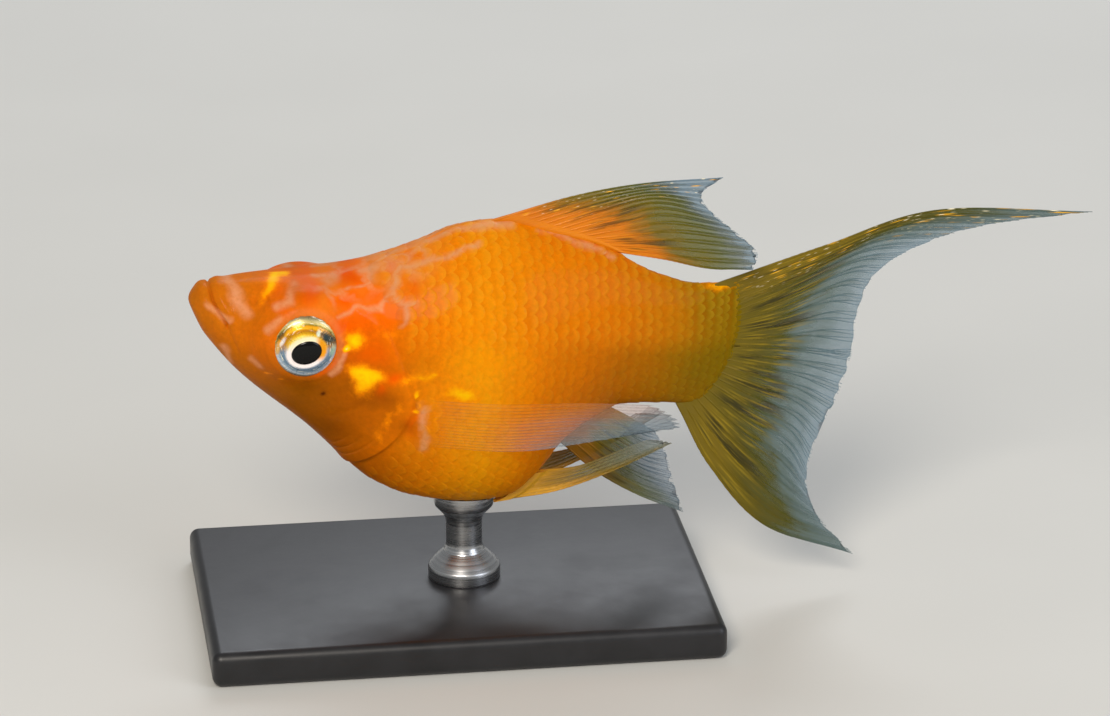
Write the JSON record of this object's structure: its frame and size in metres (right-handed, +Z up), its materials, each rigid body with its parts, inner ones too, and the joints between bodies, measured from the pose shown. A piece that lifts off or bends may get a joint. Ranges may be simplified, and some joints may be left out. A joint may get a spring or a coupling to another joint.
{
  "type": "balloon molly",
  "caption": "Still, life-size model of an orange balloon molly with a lyre tail, held over a flat display base by one short rod under its belly.",
  "frame": {"origin": "centre of the display base's underside, on the surface that the part stands on", "axes": "+X from the fish's snout towards its tail, -Y to the fish's left side, +Z up"},
  "size_m": [0.0754, 0.027, 0.0373],
  "materials": {
    "skin": "wet, finely scaled skin",
    "fin": "thin ribbed membrane",
    "eye": "clear and glossy",
    "stand_base": "satin",
    "stand_rod": "brushed"
  },
  "bodies": {
    "root": {"head": "skin", "torso": "skin", "tail_stem": "skin", "eye_left": "eye", "eye_right": "eye", "dorsal_fin": "fin", "anal_fin": "fin", "tail_fin_upper": "fin", "tail_fin_lower": "fin", "pectoral_fin_left": "fin", "pectoral_fin_right": "fin", "pelvic_fin_left": "fin", "pelvic_fin_right": "fin", "stand_base": "stand_base", "stand_rod": "stand_rod"}
  },
  "joints": []
}
